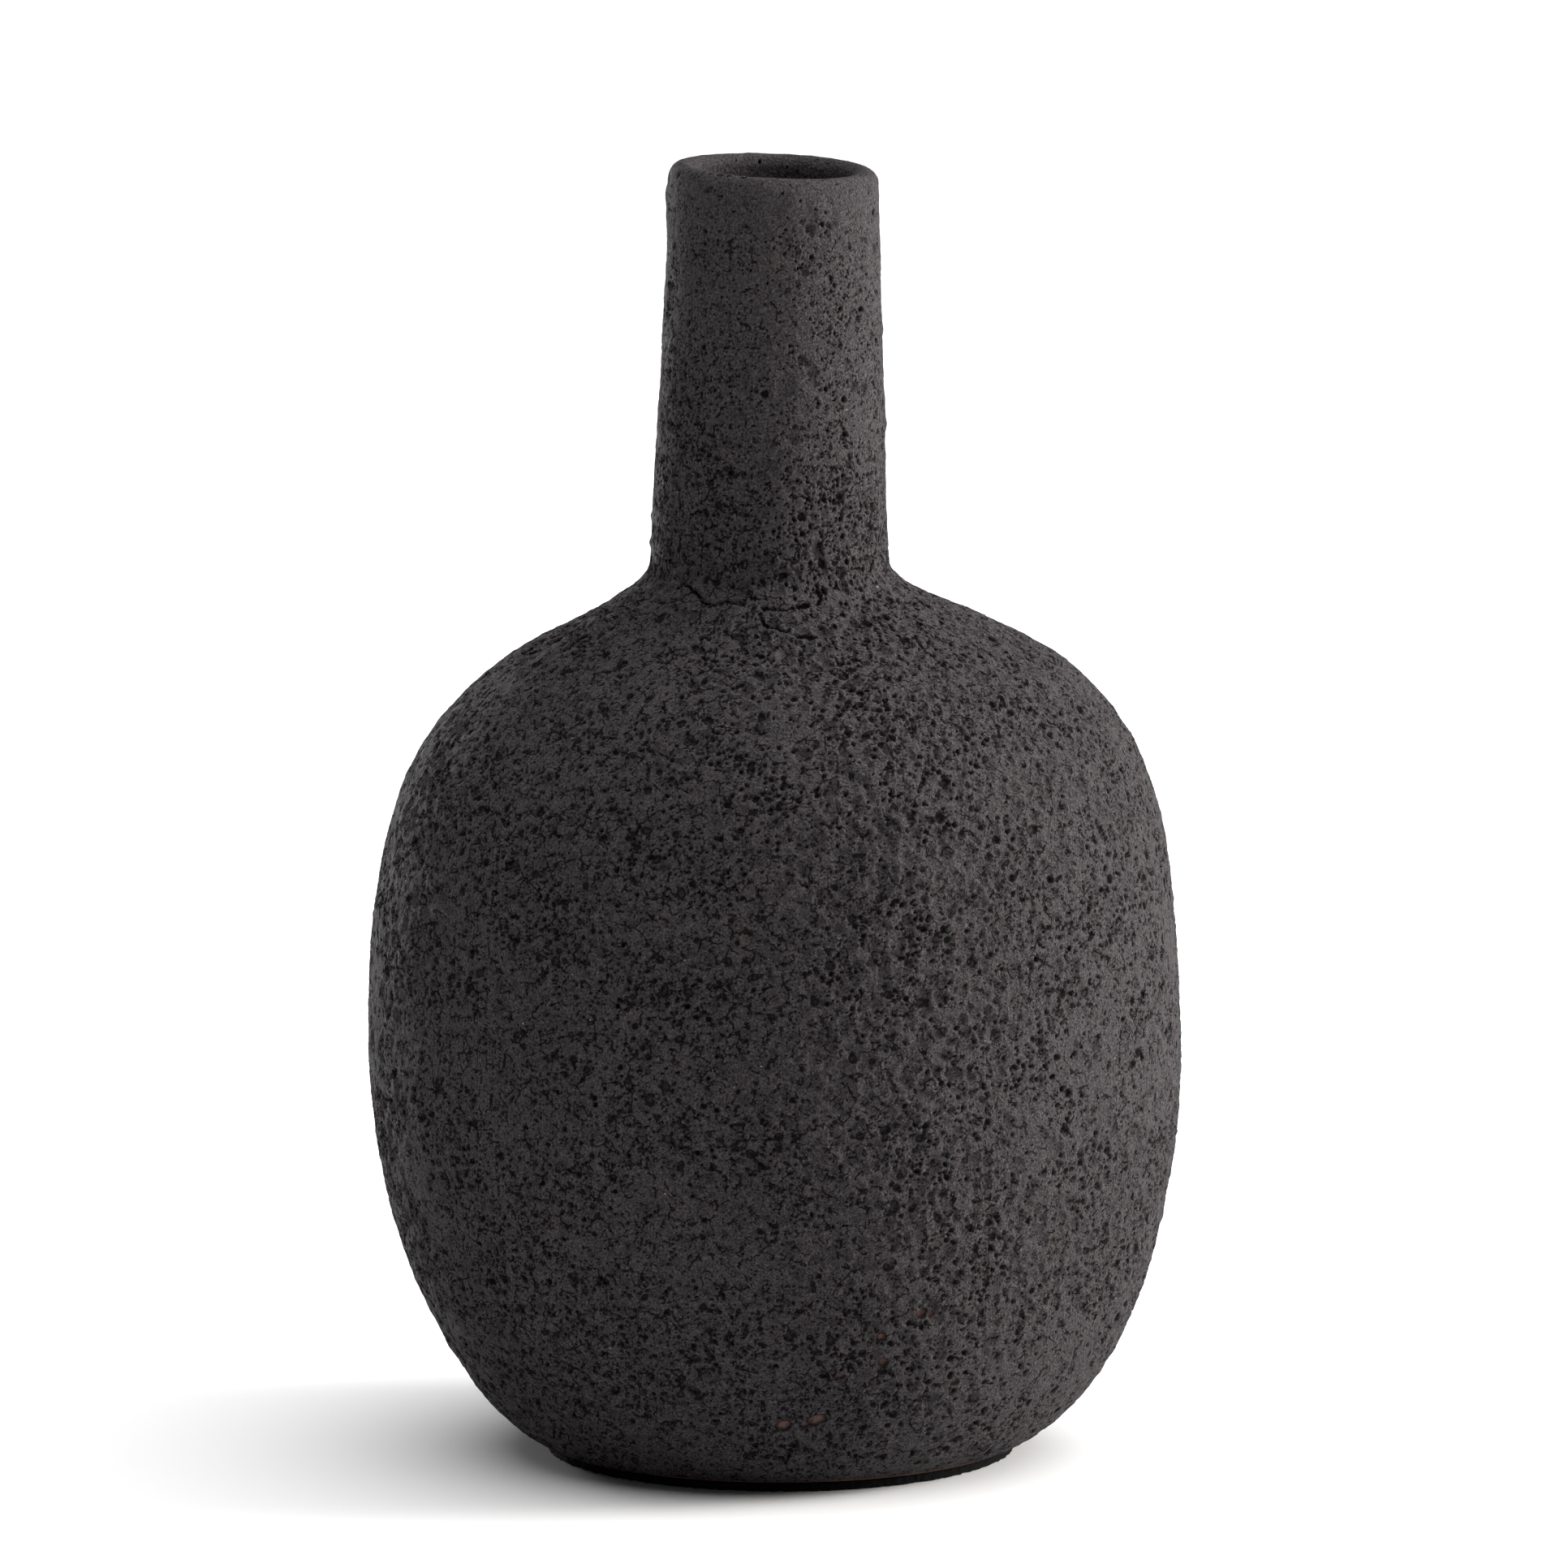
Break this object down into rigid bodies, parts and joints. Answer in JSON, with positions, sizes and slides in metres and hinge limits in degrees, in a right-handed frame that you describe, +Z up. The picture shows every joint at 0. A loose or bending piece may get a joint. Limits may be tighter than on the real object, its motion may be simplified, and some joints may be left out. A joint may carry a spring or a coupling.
{
  "type": "bottle vase",
  "caption": "Tall-necked round-bellied stoneware vase with a rough pitted dark coat, open neck bore and felt pad under the foot.",
  "frame": {"origin": "middle of the felt pad's underside, where the vase stands", "axes": "+Z up along the vase's axis, through the neck; the vase is a body of revolution, so X and Y are any two level directions"},
  "size_m": [0.188, 0.188, 0.3],
  "materials": {
    "fired_stoneware": "bare fired red-brown stoneware, matt and slightly sandy",
    "fired_slip": "fired joining slip, matt",
    "crater_glaze": "matt charcoal volcanic coat, pitted and finely cracked",
    "liner_glaze": "satin dark liner glaze",
    "adhesive": "thin brown adhesive film",
    "felt": "black needled felt"
  },
  "bodies": {
    "root": {"stoneware_body": "fired_stoneware", "stoneware_neck": "fired_stoneware", "luting_slip": "fired_slip", "joint_coil": "fired_stoneware", "crater_coat": "crater_glaze", "liner_glaze": "liner_glaze", "adhesive_film": "adhesive", "felt_pad": "felt"}
  },
  "joints": []
}
